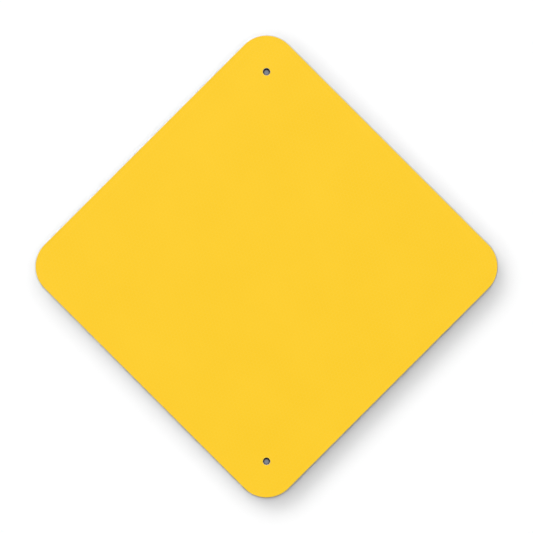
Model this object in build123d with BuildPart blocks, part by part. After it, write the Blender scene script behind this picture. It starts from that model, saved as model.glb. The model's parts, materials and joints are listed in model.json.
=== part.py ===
from build123d import *
from math import sqrt
import os

# Plain diamond object marker sign: a sheet-aluminium blank with retroreflective sheeting on its front.
# Frame: X to the right, Z up, the sign faces -Y. The origin is the middle of the back face.

# Aluminium blank: a square on its corner
SIDE = 457.2
CORNER_RADIUS = 42.0
BLANK_THICKNESS = 2.03
FRONT_EDGE_ROUND = 0.9
BACK_EDGE_BREAK = 0.2

# Bolt holes, one below the top tip and one above the bottom tip
HOLE_DIAMETER = 9.525
HOLE_TO_TIP = 48.8
HOLE_EDGE_ROUND = 0.2

# Sheeting: four bonded layers, cut back from the blank's edges so that they can't be picked loose
EDGE_TRIM = 1.2
HOLE_TRIM = 0.25
ADHESIVE_THICKNESS = 0.05
SEAL_FILM_THICKNESS = 0.06
PRISM_FILM_THICKNESS = 0.2
FACE_FILM_THICKNESS = 0.08

# The rounded corner's tip lies inside the square's own corner by this share of the radius
corner_cut = CORNER_RADIUS * (sqrt(2) - 1)
hole_height = SIDE / sqrt(2) - corner_cut - HOLE_TO_TIP

# A round on the blank's front never reaches under the sheeting or past half of the plate
front_edge_round = min(FRONT_EDGE_ROUND, EDGE_TRIM, BLANK_THICKNESS / 2)
hole_edge_round = min(HOLE_EDGE_ROUND, HOLE_TRIM, BLANK_THICKNESS / 2)

os.makedirs("parts", exist_ok=True)


def diamond_outline(trim):
    """Draws the diamond in the current sketch, its sides moved in by trim."""
    side = SIDE - 2 * trim
    RectangleRounded(side, side, CORNER_RADIUS - trim, rotation=45)


def bolt_holes(trim):
    """Cuts both bolt holes from the current sketch, their edges moved out by trim."""
    with Locations((0, hole_height), (0, -hole_height)):
        Circle(HOLE_DIAMETER / 2 + trim, mode=Mode.SUBTRACT)


# Aluminium blank: its outer front edge is rounded, its outer back edge is broken, and the punch has
# rolled in the front edge of each hole
with BuildPart() as aluminium_blank:
    with BuildSketch(Plane.XZ):
        diamond_outline(trim=0)
        bolt_holes(trim=0)
    extrude(amount=BLANK_THICKNESS)
    front_face = aluminium_blank.faces().sort_by(Axis.Y)[0]
    back_face = aluminium_blank.faces().sort_by(Axis.Y)[-1]
    front_outer_edges = front_face.outer_wire().edges()
    front_hole_edges = front_face.inner_wires().edges()
    back_outer_edges = back_face.outer_wire().edges()
    fillet(front_outer_edges, radius=front_edge_round)
    fillet(front_hole_edges, radius=hole_edge_round)
    chamfer(back_outer_edges, length=BACK_EDGE_BREAK)

aluminium_blank.part.label = "aluminium_blank"
export_step(aluminium_blank.part, "parts/aluminium_blank.step")

# Sheeting, from the blank outwards: each layer lies on the one before it
layer_base = BLANK_THICKNESS
for layer_name, layer_thickness in (
    ("adhesive_layer", ADHESIVE_THICKNESS),
    ("seal_film", SEAL_FILM_THICKNESS),
    ("prism_film", PRISM_FILM_THICKNESS),
    ("face_film", FACE_FILM_THICKNESS),
):
    with BuildPart() as sheeting_layer:
        with BuildSketch(Plane.XZ.offset(layer_base)):
            diamond_outline(trim=EDGE_TRIM)
            bolt_holes(trim=HOLE_TRIM)
        extrude(amount=layer_thickness)
    layer_base += layer_thickness
    sheeting_layer.part.label = layer_name
    export_step(sheeting_layer.part, f"parts/{layer_name}.step")
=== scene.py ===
import json
from math import atan, cos, pi, radians, sin, sqrt, tau

import bmesh
import bpy
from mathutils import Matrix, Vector
from mathutils.geometry import delaunay_2d_cdt


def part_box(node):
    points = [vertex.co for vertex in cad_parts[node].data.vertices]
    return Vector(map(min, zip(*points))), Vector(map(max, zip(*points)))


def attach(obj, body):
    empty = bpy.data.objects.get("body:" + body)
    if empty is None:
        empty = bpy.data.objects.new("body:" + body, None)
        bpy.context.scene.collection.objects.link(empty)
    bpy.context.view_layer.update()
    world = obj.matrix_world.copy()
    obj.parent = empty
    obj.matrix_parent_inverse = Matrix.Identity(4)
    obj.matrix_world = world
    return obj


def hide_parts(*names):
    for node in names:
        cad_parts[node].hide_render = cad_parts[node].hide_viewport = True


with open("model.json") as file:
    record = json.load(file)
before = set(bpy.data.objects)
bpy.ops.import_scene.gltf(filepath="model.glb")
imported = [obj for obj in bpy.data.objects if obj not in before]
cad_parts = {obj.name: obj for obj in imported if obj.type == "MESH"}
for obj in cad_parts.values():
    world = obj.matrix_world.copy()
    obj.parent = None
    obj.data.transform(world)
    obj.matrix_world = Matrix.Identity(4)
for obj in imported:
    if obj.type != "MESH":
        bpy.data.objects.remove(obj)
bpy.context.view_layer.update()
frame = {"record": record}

# Plain yellow diamond object marker. X is to the right, Z up, the sign faces -Y and its back is at y = 0.

# Sizes of the sign, in metres, as its solids have them
MM_PER_METRE = 1000
SIGN_SIDE = 0.4572
CORNER_RADIUS = 0.042
FRONT_EDGE_ROUND = 0.0009
BACK_EDGE_BREAK = 0.0002
HOLE_EDGE_ROUND = 0.0002
EDGE_TRIM = 0.0012
HOLE_TRIM = 0.00025
BOLTS = next(mount for mount in frame["record"]["mounts"] if mount["name"] == "post_bolts")["dims"]
HOLE_RADIUS = BOLTS["hole_r_mm"] / MM_PER_METRE
HALF_SPACING = BOLTS["spacing_y_mm"] / 2 / MM_PER_METRE
HOLE_HEIGHTS = {"upper": HALF_SPACING, "lower": -HALF_SPACING}
BLANK_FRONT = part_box("aluminium_blank")[0].y
BLANK_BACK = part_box("aluminium_blank")[1].y
FACE_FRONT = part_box("face_film")[0].y

# How finely the meshes follow the outline
CORNER_STEPS = 32
SIDE_STEPS = 44
HOLE_STEPS = 72
ROUND_STEPS = 8
RING_STEPS = HOLE_STEPS // 2
RING_RATIOS = (1.22, 1.55, 2.05)
GRID_STEP = 0.0085
GRID_TO_EDGE = 0.7 * GRID_STEP
GRID_TO_RING = 0.5 * GRID_STEP
SAME_POINT = 1e-9
SHARP_ANGLE = radians(25)

# A piece's map: a large square for the face that shows, a small one for the hidden face, rows for the edges
MAP_NAME = "OFBake"
MAP_GAP = 0.004
MAP_SHOWN = 0.89
MAP_HIDDEN = 0.09
MAP_PAST_SHOWN = MAP_SHOWN + 2 * MAP_GAP
MAP_ROW = 0.012
EDGE_ROWS = (0, 1, 2, 3)
HOLE_ROWS = (4, 5)
SQUARE_MIDDLE = Vector((0.5, 0.5))

# The kind of filling that keeps only triangles inside the outline
INSIDE_OUTLINE = 1

# The place of the walls' material in a piece's list, after the faces'
WALL_SLOT = 1


# Outline and meshes

def outline(trim):
    """Points around the diamond, its sides moved in by trim, anticlockwise as seen from the front."""
    reach = (SIGN_SIDE / 2 - CORNER_RADIUS) * sqrt(2)
    radius = CORNER_RADIUS - trim
    arcs = []
    for corner in range(4):
        axis = corner * pi / 2
        centre = Vector((reach * cos(axis), reach * sin(axis)))
        turns = [axis - pi / 4 + pi / 2 * step / CORNER_STEPS for step in range(CORNER_STEPS + 1)]
        arcs.append([centre + radius * Vector((cos(turn), sin(turn))) for turn in turns])
    points = []
    for arc, following in zip(arcs, arcs[1:] + arcs[:1]):
        points += arc
        points += [arc[-1].lerp(following[0], step / SIDE_STEPS) for step in range(1, SIDE_STEPS)]
    return points


def hole_ring(height, radius, steps=HOLE_STEPS):
    """Points around a bolt hole, anticlockwise as seen from the front."""
    turns = [tau * step / steps for step in range(steps)]
    return [Vector((radius * cos(turn), height + radius * sin(turn))) for turn in turns]


def depth_inside(point):
    """How far a point lies inside the diamond's untrimmed outline."""
    flat = SIGN_SIDE / 2 - CORNER_RADIUS
    over = [abs(point.x + point.y) / sqrt(2) - flat, abs(point.x - point.y) / sqrt(2) - flat]
    past_corner = Vector((max(over[0], 0), max(over[1], 0))).length
    return CORNER_RADIUS - past_corner - min(max(over), 0)


def inner_points():
    """Points inside the outline: a grid along the sides, and rings around each hole that grow into it."""
    centres = [Vector((0, height)) for height in HOLE_HEIGHTS.values()]
    clear_of_hole = HOLE_RADIUS * RING_RATIOS[-1] + GRID_TO_RING
    points = []
    for centre in centres:
        for ratio in RING_RATIOS:
            points += hole_ring(centre.y, HOLE_RADIUS * ratio, RING_STEPS)
    count = int(SIGN_SIDE / 2 / GRID_STEP)
    for row in range(-count, count + 1):
        for column in range(-count, count + 1):
            point = Vector((row - column, row + column)) * GRID_STEP / sqrt(2)
            far_from_holes = all((point - centre).length > clear_of_hole for centre in centres)
            if depth_inside(point) > GRID_TO_EDGE and far_from_holes:
                points.append(point)
    return points


def fill_triangles(loops, points):
    """Triangles between the outline and the holes. Their corners are places in a list of all the loops'
    points, followed by the inner points."""
    vertices = [point for loop in loops for point in loop] + points
    edges = []
    loop_of = {}
    first = 0
    for number, loop in enumerate(loops):
        places = list(range(first, first + len(loop)))
        edges += zip(places, places[1:] + places[:1])
        loop_of.update(dict.fromkeys(places, number))
        first += len(loop)
    _, _, faces, sources, _, _ = delaunay_2d_cdt(vertices, edges, [], INSIDE_OUTLINE, SAME_POINT)
    triangles = [[sources[corner][0] for corner in face] for face in faces]
    # A triangle whose corners are all on one hole's ring lies in that hole
    holes = [{number} for number in range(1, len(loops))]
    return [triangle for triangle in triangles if {loop_of.get(place) for place in triangle} not in holes]


INNER_POINTS = inner_points()
TRIANGLES = fill_triangles(
    [outline(EDGE_TRIM)] + [hole_ring(height, HOLE_RADIUS) for height in HOLE_HEIGHTS.values()],
    INNER_POINTS,
)


def lay_face(face, map_layer, at_back, shown):
    """Lays a triangle of the front or the back on the map, with the sign's sides along the map's edges."""
    size = MAP_SHOWN if shown else MAP_HIDDEN
    start = Vector((MAP_GAP if shown else MAP_PAST_SHOWN, MAP_GAP))
    to_right = -1 if at_back else 1
    for loop in face.loops:
        right = loop.vert.co.x * to_right
        up = loop.vert.co.z
        turned = Vector((right + up, up - right)) / sqrt(2)
        loop[map_layer].uv = start + size * (turned / SIGN_SIDE + SQUARE_MIDDLE)


def row_place(row, along, across):
    """A place on one of the map's rows."""
    up = MAP_PAST_SHOWN + row * (MAP_ROW + MAP_GAP) + MAP_ROW * across
    return Vector((MAP_GAP + MAP_SHOWN * along, up))


def skin_wall(mesh, map_layer, rings, rows, inwards):
    """Quads between rings from front to back, facing inwards on a hole. Each row of the map takes an even
    stretch of the way round."""
    steps = [(far[0].co - near[0].co).length for near, far in zip(rings, rings[1:])]
    depths = [sum(steps[:number]) / sum(steps) for number in range(len(rings))]
    stretch = len(rings[0]) // len(rows)
    for near, far, near_depth, far_depth in zip(rings, rings[1:], depths, depths[1:]):
        for here in range(len(near)):
            there = (here + 1) % len(near)
            row = rows[here // stretch]
            start = here % stretch / stretch
            end = (here % stretch + 1) / stretch
            places = {
                near[here]: row_place(row, start, near_depth),
                far[here]: row_place(row, start, far_depth),
                far[there]: row_place(row, end, far_depth),
                near[there]: row_place(row, end, near_depth),
            }
            face = mesh.faces.new(list(places)[::-1] if inwards else list(places))
            face.material_index = WALL_SLOT
            for loop in face.loops:
                loop[map_layer].uv = places[loop.vert]


def shade_smooth(mesh):
    """Smooth shading all over, apart from edges where the surface turns by SHARP_ANGLE or more."""
    mesh.normal_update()
    for face in mesh.faces:
        face.smooth = True
    for edge in mesh.edges:
        edge.smooth = edge.calc_face_angle() < SHARP_ANGLE


def plate_mesh(edge_profile, hole_profile, back_shows):
    """The mesh of a flat plate with the sign's outline and holes. edge_profile is (trim, y) and hole_profile
    (radius, y), both from front to back."""
    mesh = bmesh.new()
    map_layer = mesh.loops.layers.uv.new(MAP_NAME)

    def ring(points, y):
        return [mesh.verts.new((point.x, y, point.y)) for point in points]

    walls = [[ring(outline(trim), y) for trim, y in edge_profile]]
    for height in HOLE_HEIGHTS.values():
        walls.append([ring(hole_ring(height, radius), y) for radius, y in hole_profile])
    front_y = edge_profile[0][1]
    back_y = edge_profile[-1][1]
    front = [vertex for wall in walls for vertex in wall[0]] + ring(INNER_POINTS, front_y)
    back = [vertex for wall in walls for vertex in wall[-1]] + ring(INNER_POINTS, back_y)
    for triangle in TRIANGLES:
        mesh.faces.new([front[place] for place in triangle])
        mesh.faces.new([back[place] for place in reversed(triangle)])
    mesh.normal_update()
    for face in mesh.faces:
        at_back = face.normal.y > 0
        lay_face(face, map_layer, at_back, shown=at_back == back_shows)
    skin_wall(mesh, map_layer, walls[0], EDGE_ROWS, inwards=False)
    for wall, row in zip(walls[1:], HOLE_ROWS):
        skin_wall(mesh, map_layer, wall, (row,), inwards=True)
    shade_smooth(mesh)
    return mesh


def mesh_data(name, mesh):
    """An object's mesh from one that was built in code, which is freed."""
    data = bpy.data.meshes.new(name)
    mesh.to_mesh(data)
    mesh.free()
    return data


def new_object(name, data):
    """A new object in the scene."""
    made = bpy.data.objects.new(name, data)
    bpy.context.scene.collection.objects.link(made)
    return made


def plate(name, edge_profile, hole_profile, face_material, wall_material, back_shows=False):
    """A flat piece of the sign, with profiles as in plate_mesh."""
    data = mesh_data(name, plate_mesh(edge_profile, hole_profile, back_shows))
    data.materials.append(face_material)
    data.materials.append(wall_material)
    piece = new_object(name, data)
    # Rays that the floor scatters pass the sign by, so that its shadow there is only what the lamps throw
    piece.visible_diffuse = False
    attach(piece, "root")
    return piece


def quarter_round(edge, front_y, radius):
    """(place, y) down a rounded front edge, from radius past the edge at the front to the edge itself."""
    turns = [pi / 2 * step / ROUND_STEPS for step in range(ROUND_STEPS + 1)]
    return [(edge + radius * (1 - sin(turn)), front_y + radius * (1 - cos(turn))) for turn in turns]


def add_blank(face_material, wall_material):
    """The aluminium plate, with a rounded front edge, a broken back edge and holes rounded at the front."""
    edge = [(EDGE_TRIM, BLANK_FRONT)]
    edge += quarter_round(0, BLANK_FRONT, FRONT_EDGE_ROUND)
    edge += [(0, BLANK_BACK - BACK_EDGE_BREAK), (BACK_EDGE_BREAK, BLANK_BACK)]
    hole = quarter_round(HOLE_RADIUS, BLANK_FRONT, HOLE_EDGE_ROUND)
    hole += [(HOLE_RADIUS, BLANK_BACK)]
    piece = plate("sign_blank", edge, hole, face_material, wall_material, back_shows=True)
    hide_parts("aluminium_blank")


def add_sheeting(name, node, film):
    """One bonded layer of the sheeting, with one material on its faces and its walls."""
    low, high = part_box(node)
    edge = [(EDGE_TRIM, low.y), (EDGE_TRIM, high.y)]
    hole = [(HOLE_RADIUS + HOLE_TRIM, low.y), (HOLE_RADIUS + HOLE_TRIM, high.y)]
    piece = plate(name, edge, hole, film, film)
    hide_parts(node)


# Nodes

# Values that nearly all of a noise lies between, and values that most of it does
NOISE_RANGE = (0.2, 0.8)
NOISE_CORE = (0.3, 0.7)

# How far from a cell's point a scratch is full, and where it has faded out, as shares of the cell
SCRATCH_CORE = 0.1
SCRATCH_FADE = 0.4


def add_node(tree, kind, inputs=None, **settings):
    """A new node with its settings, and its inputs set to values or linked to sockets."""
    node = tree.nodes.new(kind)
    for key, value in settings.items():
        setattr(node, key, value)
    for key, value in (inputs or {}).items():
        if isinstance(value, bpy.types.NodeSocket):
            tree.links.new(value, node.inputs[key])
        else:
            node.inputs[key].default_value = value
    return node


def material(name, metallic, specular):
    """A new material. Returns it with its node tree and its shader."""
    made = bpy.data.materials.new(name)
    made.use_nodes = True
    shader = made.node_tree.nodes["Principled BSDF"]
    shader.inputs["Metallic"].default_value = metallic
    shader.inputs["Specular IOR Level"].default_value = specular
    return made, made.node_tree, shader


def feed(tree, shader, **sockets):
    """Links sockets to the shader's inputs, whose names have underscores for spaces here."""
    for key, socket in sockets.items():
        tree.links.new(socket, shader.inputs[key.replace("_", " ")])


def calc(tree, operation, first, second=0.0):
    """A number worked out from one or two numbers."""
    return add_node(tree, "ShaderNodeMath", {0: first, 1: second}, operation=operation).outputs[0]


def plus_share(tree, total, value, share):
    """The total, with a share of a value added."""
    terms = {0: value, 1: share, 2: total}
    return add_node(tree, "ShaderNodeMath", terms, operation="MULTIPLY_ADD").outputs[0]


def calc_vector(tree, operation, first, second=(0, 0, 0)):
    """A vector worked out from one or two vectors."""
    node = add_node(tree, "ShaderNodeVectorMath", {0: first, 1: second}, operation=operation)
    return node.outputs["Vector"]


def calc_between(tree, operation, first, second):
    """A number worked out from two vectors."""
    node = add_node(tree, "ShaderNodeVectorMath", {0: first, 1: second}, operation=operation)
    return node.outputs["Value"]


def remap(tree, value, start, end, low=0.0, high=1.0):
    """A soft step from low at start to high at end."""
    ends = {"Value": value, "From Min": start, "From Max": end, "To Min": low, "To Max": high}
    return add_node(tree, "ShaderNodeMapRange", ends, interpolation_type="SMOOTHSTEP").outputs["Result"]


def mix(tree, share, first, second):
    """The first colour, with a share of the second, by the sockets that a Mix node has for colours."""
    colours = {0: share, 6: first, 7: second}
    return add_node(tree, "ShaderNodeMix", colours, data_type="RGBA").outputs[2]


def mix_numbers(tree, share, first, second):
    """The first number, with a share of the second, by the sockets that a Mix node has for numbers."""
    numbers = {0: share, 2: first, 3: second}
    return add_node(tree, "ShaderNodeMix", numbers, data_type="FLOAT").outputs[0]


def lay_over(tree, under, over, where, strength):
    """One colour laid over another where a pattern is, at that strength."""
    return mix(tree, calc(tree, "MULTIPLY", where, strength), under, over)


def place_in_mm(tree, turn):
    """Places on the piece in millimetres, on axes turned about the sign's normal."""
    here = add_node(tree, "ShaderNodeTexCoord").outputs["Object"]
    turned = {"Vector": here, "Rotation": (0, turn, 0), "Scale": (MM_PER_METRE,) * 3}
    return add_node(tree, "ShaderNodeMapping", turned).outputs["Vector"]


def noise(tree, place, size, detail=2.0, roughness=0.5):
    """Noise whose features are about as large as size: one number in millimetres, or one for each axis."""
    sizes = size if isinstance(size, tuple) else (size,) * 3
    scaled = calc_vector(tree, "DIVIDE", place, sizes)
    grain = {"Vector": scaled, "Scale": 1.0, "Detail": detail, "Roughness": roughness}
    return add_node(tree, "ShaderNodeTexNoise", grain).outputs["Fac"]


def patches(tree, place, size, ends=NOISE_CORE, **kind):
    """Noise drawn apart, so that it is 0 below the first of two values and 1 above the second."""
    return remap(tree, noise(tree, place, size, **kind), *ends)


def bump(tree, height, depth, under=None):
    """Normals of a relief whose height, from 0 to 1, is depth millimetres, on top of another's normals."""
    relief = {"Height": height, "Distance": depth / MM_PER_METRE}
    if under:
        relief["Normal"] = under
    return add_node(tree, "ShaderNodeBump", relief).outputs["Normal"]


def honeycomb(tree, place, pitch):
    """0 at the middle of a hexagonal cell, growing to 1 on the line between two cells."""
    half_period = Vector((0.5, 0.5, sqrt(3) / 2))
    slant = (cos(pi / 3), 0, sin(pi / 3))
    scaled = calc_vector(tree, "DIVIDE", place, (pitch,) * 3)

    def to_edge(shift):
        moved = calc_vector(tree, "ADD", scaled, shift)
        ends = {0: moved, 1: half_period, 2: -half_period}
        wrapped = add_node(tree, "ShaderNodeVectorMath", ends, operation="WRAP").outputs["Vector"]
        folded = calc_vector(tree, "ABSOLUTE", wrapped)
        across = add_node(tree, "ShaderNodeSeparateXYZ", {0: folded}).outputs["X"]
        return calc(tree, "MAXIMUM", across, calc_between(tree, "DOT_PRODUCT", folded, slant))

    nearest = calc(tree, "MINIMUM", to_edge((0, 0, 0)), to_edge(half_period))
    return calc(tree, "MULTIPLY", nearest, 2)


def scratches(tree, turn, length, width, kept):
    """Straight fine scratches at one angle: long thin cells, of which a small share is kept."""
    scaled = calc_vector(tree, "DIVIDE", place_in_mm(tree, turn), (length, length, width))
    cells = add_node(tree, "ShaderNodeTexVoronoi", {"Vector": scaled, "Scale": 1.0}).outputs
    line = remap(tree, cells["Distance"], SCRATCH_CORE, SCRATCH_FADE, low=1.0, high=0.0)
    draw = add_node(tree, "ShaderNodeSeparateColor", {0: cells["Color"]}).outputs["Red"]
    return calc(tree, "MULTIPLY", line, calc(tree, "LESS_THAN", draw, kept))


# Materials, with sizes in millimetres

# The turn that lays a material's axes along the sign's sides
ALONG_SIDE = pi / 4

# Yellow face film
CELL_PITCH = 5.0
SEAL_WIDTH = 0.9
SEAL_DEPTH = 0.012
SEAL_STRENGTH = 0.35
SEAL_ROUGHENS = 0.08
MOTTLE_SIZE = 70.0
MOTTLE_ROUGHENS = 0.12
PRISM_SIZE = 0.9
PRISM_SHARE = 0.4
RIPPLE_SIZE = 2.2
RIPPLE_DEPTH = 0.004
YELLOW_ROUGHNESS = 0.24
DEEP_YELLOW = (0.944, 0.578, 0.013, 1)
PALE_YELLOW = (0.998, 0.628, 0.023, 1)
SEAL_YELLOW = (0.985, 0.665, 0.075, 1)


def yellow_sheeting():
    """Yellow face film over sealed cells of prisms: a pale honeycomb, faint mottling and a fine grain."""
    made, tree, shader = material("yellow_sheeting", metallic=0.0, specular=0.3)
    place = place_in_mm(tree, ALONG_SIDE)
    seal = remap(tree, honeycomb(tree, place, CELL_PITCH), 1 - SEAL_WIDTH / CELL_PITCH, 1.0)
    mottle = noise(tree, place, MOTTLE_SIZE, detail=3.0)
    prisms = noise(tree, place, PRISM_SIZE, detail=1.0)
    film = mix(tree, mix_numbers(tree, PRISM_SHARE, mottle, prisms), DEEP_YELLOW, PALE_YELLOW)
    film = lay_over(tree, film, SEAL_YELLOW, seal, SEAL_STRENGTH)
    rough = plus_share(tree, YELLOW_ROUGHNESS, seal, SEAL_ROUGHENS)
    rough = plus_share(tree, rough, mottle, MOTTLE_ROUGHENS)
    relief = bump(tree, noise(tree, place, RIPPLE_SIZE), RIPPLE_DEPTH)
    relief = bump(tree, seal, SEAL_DEPTH, relief)
    feed(tree, shader, Base_Color=film, Roughness=rough, Normal=relief)
    return made


# Thin layers behind the yellow, each with its deep and its pale colour
CLOUD_SIZE = 6.0
KNIFE_SIZE = (0.25, 2.0, 0.25)
KNIFE_DEPTH = 0.01
KNIFE_ROUGHENS = 0.1
ADHESIVE_COLOURS = ((0.60, 0.57, 0.49, 1), (0.74, 0.72, 0.66, 1))
WHITE_COLOURS = ((0.78, 0.77, 0.72, 1), (0.86, 0.85, 0.81, 1))
AMBER_COLOURS = ((0.88, 0.54, 0.05, 1), (0.95, 0.63, 0.10, 1))


def film_edge(name, deep, pale, rough):
    """A thin layer of the sheeting, seen on its cut edge: cloudy, with fine knife marks across it."""
    made, tree, shader = material(name, metallic=0.0, specular=0.4)
    place = place_in_mm(tree, ALONG_SIDE)
    cloud = noise(tree, place, CLOUD_SIZE, detail=3.0)
    knife = noise(tree, place, KNIFE_SIZE)
    feed(
        tree, shader,
        Base_Color=mix(tree, cloud, deep, pale),
        Roughness=remap(tree, knife, *NOISE_RANGE, rough - KNIFE_ROUGHENS, rough + KNIFE_ROUGHENS),
        Normal=bump(tree, knife, KNIFE_DEPTH),
    )
    return made


# Rolled sheet, whose marks are long in X, the direction of rolling
GLOSS_SIZE = (260.0, 1.0, 70.0)
GLOSS_ENDS = (0.25, 0.75)
WAVE_SIZE = (220.0, 1.0, 90.0)
WAVE_DEPTH = 1.2
BAND_SIZE = (600.0, 1.0, 18.0)
BAND_STRENGTH = 0.45
LINE_SIZE = (200.0, 1.0, 3.2)
LINE_STRENGTH = 0.40
LINE_DEPTH = 0.012
LINE_ROUGHENS = 0.06
GRAIN_SIZE = (90.0, 1.0, 0.9)
GRAIN_STRENGTH = 0.28
SCRATCH_STRENGTH = 0.60
SCRATCH_DEPTH = 0.010
HAZY_ROUGHNESS = 0.40
GLOSSY_ROUGHNESS = 0.30
HAZY_METAL = (0.725, 0.730, 0.740, 1)
GLOSSY_METAL = (0.775, 0.772, 0.765, 1)
BAND_METAL = (0.640, 0.646, 0.655, 1)
LINE_METAL = (0.560, 0.566, 0.575, 1)
SCRATCH_METAL = (0.920, 0.920, 0.920, 1)


def mill_aluminium():
    """Rolled sheet: fine rolling lines along one side, soft waviness, hazy patches and handling scratches."""
    made, tree, shader = material("mill_aluminium", metallic=1.0, specular=0.5)
    place = place_in_mm(tree, ALONG_SIDE)
    gloss = patches(tree, place, GLOSS_SIZE, GLOSS_ENDS, detail=3.0)
    bands = patches(tree, place, BAND_SIZE)
    lines = patches(tree, place, LINE_SIZE, detail=1.5)
    grain = patches(tree, place, GRAIN_SIZE, roughness=0.7)
    marks = calc(
        tree, "MAXIMUM",
        scratches(tree, turn=radians(17), length=60.0, width=0.8, kept=0.010),
        scratches(tree, turn=radians(104), length=45.0, width=0.7, kept=0.008),
    )
    metal = mix(tree, gloss, HAZY_METAL, GLOSSY_METAL)
    metal = lay_over(tree, metal, BAND_METAL, bands, BAND_STRENGTH)
    metal = lay_over(tree, metal, LINE_METAL, lines, LINE_STRENGTH)
    metal = lay_over(tree, metal, LINE_METAL, grain, GRAIN_STRENGTH)
    metal = lay_over(tree, metal, SCRATCH_METAL, marks, SCRATCH_STRENGTH)
    rough = remap(tree, gloss, 0.0, 1.0, HAZY_ROUGHNESS, GLOSSY_ROUGHNESS)
    rough = plus_share(tree, rough, lines, LINE_ROUGHENS)
    relief = bump(tree, noise(tree, place, WAVE_SIZE, detail=1.0), WAVE_DEPTH)
    relief = bump(tree, lines, LINE_DEPTH, relief)
    relief = bump(tree, marks, -SCRATCH_DEPTH, relief)
    feed(tree, shader, Base_Color=metal, Roughness=rough, Normal=relief)
    return made


# The blank's cut edge, where the tear starts and ends at places in Y
STREAK_SIZE = (0.3, 5.0, 0.3)
STREAK_DEPTH = 0.008
STREAK_ROUGHNESS = (0.29, 0.40)
TEAR_START = -0.5
TEAR_END = -0.2
RAGGED_SIZE = (3.0, 9.0, 3.0)
RAGGED_REACH = 0.7
TORN_SIZE = 0.25
TORN_DEPTH = 0.05
TORN_ROUGHENS = 0.22
DIM_STREAK = (0.770, 0.776, 0.786, 1)
BRIGHT_STREAK = (0.880, 0.880, 0.880, 1)
TORN_METAL = (0.560, 0.562, 0.568, 1)


def sheared_edge():
    """The blank's cut edge: bright where the shear slid, dull and torn towards the back."""
    made, tree, shader = material("sheared_edge", metallic=1.0, specular=0.5)
    place = place_in_mm(tree, ALONG_SIDE)
    depth = add_node(tree, "ShaderNodeSeparateXYZ", {0: place}).outputs["Y"]
    ragged = noise(tree, place, RAGGED_SIZE, detail=3.0)
    torn = remap(tree, plus_share(tree, depth, ragged, RAGGED_REACH), TEAR_START, TEAR_END)
    streaks = noise(tree, place, STREAK_SIZE)
    metal = mix(tree, streaks, DIM_STREAK, BRIGHT_STREAK)
    metal = mix(tree, torn, metal, TORN_METAL)
    rough = remap(tree, streaks, *NOISE_RANGE, *STREAK_ROUGHNESS)
    rough = plus_share(tree, rough, torn, TORN_ROUGHENS)
    relief = bump(tree, streaks, STREAK_DEPTH)
    relief = bump(tree, calc(tree, "MULTIPLY", torn, noise(tree, place, TORN_SIZE)), TORN_DEPTH, relief)
    feed(tree, shader, Base_Color=metal, Roughness=rough, Normal=relief)
    return made


# Pieces, from the back to the front

yellow = yellow_sheeting()
adhesive = film_edge("clear_adhesive", *ADHESIVE_COLOURS, rough=0.45)
white_film = film_edge("white_seal_film", *WHITE_COLOURS, rough=0.55)
amber_film = film_edge("amber_prism_film", *AMBER_COLOURS, rough=0.30)

add_blank(mill_aluminium(), sheared_edge())
add_sheeting("sheeting_adhesive", "adhesive_layer", adhesive)
add_sheeting("sheeting_seal_film", "seal_film", white_film)
add_sheeting("sheeting_prism_film", "prism_film", amber_film)
add_sheeting("sheeting_face_film", "face_film", yellow)

# Stage: a pale floor behind the sign, lit from the upper left, and the camera straight in front

# Camera, for an image in which a side of the yellow is YELLOW_PIXELS long
IMAGE_PIXELS = 533
YELLOW_PIXELS = 344.6
LENS = 150
SENSOR = 36

# Floor
FLOOR_GAP = 0.040
FLOOR_SIZE = 6.0
FLOOR_GLOW = 0.022
FLOOR_COLOUR = (0.990, 0.990, 0.990, 1)

# Grounds behind the holes: a glow with painted shade, darker outwards from SHADE_DROP below the hole's middle
HOLE_GROUND_GAP = 0.0004
HOLE_GROUND_RADIUS = 1.6 * HOLE_RADIUS
# The bluish grey of the painted shade, and the levels of its painted light and painted shade
HOLE_SHADE_COLOUR = (0.80, 0.86, 1.00, 1)
HOLE_PAINTED_LIGHT = 0.28
HOLE_PAINTED_SHADE = 0.008
SHADE_DROP = 0.0009
SHADE_START = 0.0020
SHADE_END = 0.0043

# Dome that reflections see, whose front, middle and back are at these shares of its radius in Y
DOME_RADIUS = 12.0
DOME_SUBDIVISIONS = 4
DOME_FRONT = -0.5
DOME_MIDDLE = 0.0
DOME_BACK = 0.5
DOME_TURN = radians(115)
DOME_LEVEL = 0.53
DOME_CONTRAST = 1.40
DOME_SIDE_CONTRAST = 0.38
DOME_DARKEST = 0.12
STRIP_AXIS = Vector((1, 0, 0.5))
STRIP_PERIOD = 0.6
STRIP_PHASE = 1.36
STRIP_LEVEL = 0.75
STRIP_CONTRAST = 0.5

# Light from all round, and lamps with how far each moves and softens the sign's shadow on the floor
WHITE = (1, 1, 1, 1)
AMBIENT = 0.14
KEY_LEVEL = 0.61
KEY_OFFSET = Vector((0.0077, -0.0110))
KEY_SPREAD = 0.033
SIDE_LEVEL = 0.12
SIDE_OFFSET = Vector((0.016, -0.022))
SIDE_SPREAD = 0.009
FILL_LEVEL = 0.15
FILL_OFFSET = Vector((0.0005, -0.0065))
FILL_SPREAD = 0.0025

# Kinds of rays that an object can be hidden from
RAY_KINDS = ("camera", "diffuse", "glossy", "transmission", "volume_scatter", "shadow")


def set_camera():
    """Straight in front of the sign, from as far as makes the yellow YELLOW_PIXELS long on a side."""
    view_width = (SIGN_SIDE - 2 * EDGE_TRIM) * IMAGE_PIXELS / YELLOW_PIXELS
    data = bpy.data.cameras.new("camera")
    data.lens = LENS
    data.sensor_width = SENSOR
    eye = new_object("camera", data)
    eye.location = (0, FACE_FRONT - view_width * LENS / SENSOR, 0)
    eye.rotation_euler = (pi / 2, 0, 0)
    bpy.context.scene.camera = eye


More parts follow.
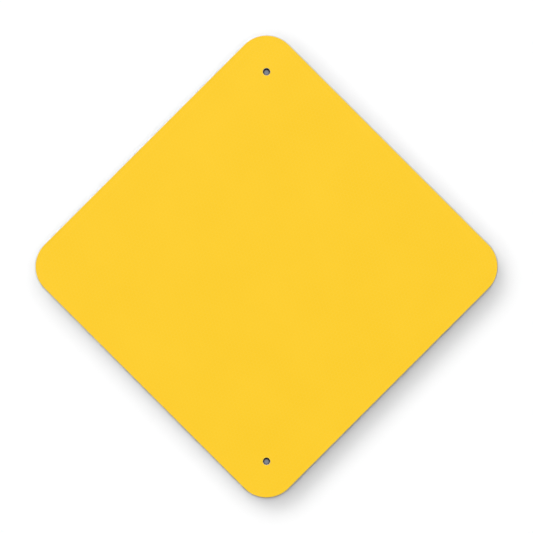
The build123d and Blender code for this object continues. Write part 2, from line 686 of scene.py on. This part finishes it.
def seen_directly(tree):
    """1 for what the camera sees, by itself, mirrored or through something clear, and otherwise 0."""
    path = add_node(tree, "ShaderNodeLightPath").outputs
    seen = calc(tree, "MAXIMUM", path["Is Camera Ray"], path["Is Glossy Ray"])
    return calc(tree, "MAXIMUM", seen, path["Is Transmission Ray"])


def stage_material(name):
    """A new material with no nodes. Returns it with its node tree."""
    made = bpy.data.materials.new(name)
    made.use_nodes = True
    made.node_tree.nodes.clear()
    return made, made.node_tree


def show_from_front(tree, surface):
    """Makes a surface the material's own on its front, and leaves its back clear."""
    behind = add_node(tree, "ShaderNodeNewGeometry").outputs["Backfacing"]
    clear = add_node(tree, "ShaderNodeBsdfTransparent").outputs[0]
    either = add_node(tree, "ShaderNodeMixShader", {0: behind, 1: surface, 2: clear}).outputs[0]
    add_node(tree, "ShaderNodeOutputMaterial", {"Surface": either})


def stage_piece(data, made, seen_by):
    """A stage piece of that mesh and material, which only the rays in seen_by see."""
    data.materials.append(made)
    piece = new_object(data.name, data)
    for rays in RAY_KINDS:
        setattr(piece, f"visible_{rays}", rays in seen_by)
    return piece


def card(name, corners):
    """The mesh of a flat card."""
    data = bpy.data.meshes.new(name)
    data.from_pydata(corners, [], [range(len(corners))])
    return data


def add_floor():
    """The pale ground behind the sign, which keeps the sign's shadow."""
    made, tree = stage_material("pale_floor")
    glow = calc(tree, "MULTIPLY", seen_directly(tree), FLOOR_GLOW)
    emission = add_node(tree, "ShaderNodeEmission", {"Strength": glow}).outputs[0]
    diffuse = add_node(tree, "ShaderNodeBsdfDiffuse", {"Color": FLOOR_COLOUR}).outputs[0]
    show_from_front(tree, add_node(tree, "ShaderNodeAddShader", {0: emission, 1: diffuse}).outputs[0])
    half = FLOOR_SIZE / 2
    places = ((-half, -half), (half, -half), (half, half), (-half, half))
    corners = [(x, FLOOR_GAP, z) for x, z in places]
    stage_piece(card("floor", corners), made, ("camera", "transmission"))


def add_painted_hole_shades():
    """A grey ground close behind each hole that glows, with painted shade darkest along the hole's upper
    edge.
    """
    made, tree = stage_material("painted_hole_shade")
    place = add_node(tree, "ShaderNodeTexCoord").outputs["Object"]
    away = calc_between(tree, "DISTANCE", place, (0, 0, -SHADE_DROP))
    # Painted shade: the glow fades from light below the hole's middle to dark at its rim, most at the top
    level = remap(tree, away, SHADE_START, SHADE_END, HOLE_PAINTED_LIGHT, HOLE_PAINTED_SHADE)
    glow = {"Color": HOLE_SHADE_COLOUR, "Strength": level}
    show_from_front(tree, add_node(tree, "ShaderNodeEmission", glow).outputs[0])
    ring = [(point.x, 0, point.y) for point in hole_ring(0, HOLE_GROUND_RADIUS)]
    for name, height in HOLE_HEIGHTS.items():
        piece = stage_piece(card(f"{name}_painted_hole_shade", ring), made, ("camera",))
        piece.location = (0, BLANK_BACK + HOLE_GROUND_GAP, height)


def add_dome():
    """A dome that only reflections see. In front it is bright towards the key light and dark on the far side
    from it, and behind the sign it has broad soft strips."""
    made, tree = stage_material("reflection_dome")
    place = add_node(tree, "ShaderNodeTexCoord").outputs["Object"]
    towards = calc_vector(tree, "NORMALIZE", place)

    def along(axis):
        return calc_between(tree, "DOT_PRODUCT", towards, axis)

    backward = along((0, 1, 0))
    lit = along((cos(DOME_TURN), 0, sin(DOME_TURN)))
    contrast = remap(tree, backward, DOME_FRONT, DOME_MIDDLE, DOME_CONTRAST, DOME_SIDE_CONTRAST)
    front = calc(tree, "MAXIMUM", plus_share(tree, DOME_LEVEL, lit, contrast), DOME_DARKEST)
    wave = calc(tree, "SINE", calc(tree, "ADD", along(STRIP_AXIS * tau / STRIP_PERIOD), STRIP_PHASE))
    behind = plus_share(tree, STRIP_LEVEL, wave, STRIP_CONTRAST)
    level = mix_numbers(tree, remap(tree, backward, DOME_MIDDLE, DOME_BACK), front, behind)
    emission = add_node(tree, "ShaderNodeEmission", {"Strength": level}).outputs[0]
    add_node(tree, "ShaderNodeOutputMaterial", {"Surface": emission})
    mesh = bmesh.new()
    bmesh.ops.create_icosphere(mesh, subdivisions=DOME_SUBDIVISIONS, radius=DOME_RADIUS)
    stage_piece(mesh_data("reflection_dome", mesh), made, ("glossy",))


def set_world():
    """White all round where it is seen, and a little light from everywhere."""
    made = bpy.data.worlds.new("studio")
    bpy.context.scene.world = made
    made.cycles.sampling_method = "NONE"
    made.use_nodes = True
    tree = made.node_tree
    tree.nodes.clear()
    strength = mix_numbers(tree, seen_directly(tree), AMBIENT, 1.0)
    back = add_node(tree, "ShaderNodeBackground", {"Color": WHITE, "Strength": strength}).outputs[0]
    add_node(tree, "ShaderNodeOutputWorld", {"Surface": back})


def add_sun(name, level, offset, spread):
    """A lamp under which the sign's matt colours show at that level. Its shadow on the floor is moved by
    offset and softened by spread to either side."""
    towards = Vector((offset.x, FLOOR_GAP, offset.y)).normalized()
    data = bpy.data.lights.new(name, "SUN")
    data.energy = level * pi / towards.y
    data.angle = 2 * atan(spread / FLOOR_GAP)
    data.cycles.use_multiple_importance_sampling = False
    lamp = new_object(name, data)
    lamp.rotation_mode = "QUATERNION"
    lamp.rotation_quaternion = towards.to_track_quat("-Z", "Y")
    # The metal mirrors the dome and not the lamps
    lamp.visible_glossy = False


bpy.context.scene.view_settings.view_transform = "Standard"
set_camera()
add_floor()
add_painted_hole_shades()
add_dome()
set_world()
add_sun("key", KEY_LEVEL, KEY_OFFSET, KEY_SPREAD)
add_sun("side", SIDE_LEVEL, SIDE_OFFSET, SIDE_SPREAD)
add_sun("fill", FILL_LEVEL, FILL_OFFSET, FILL_SPREAD)
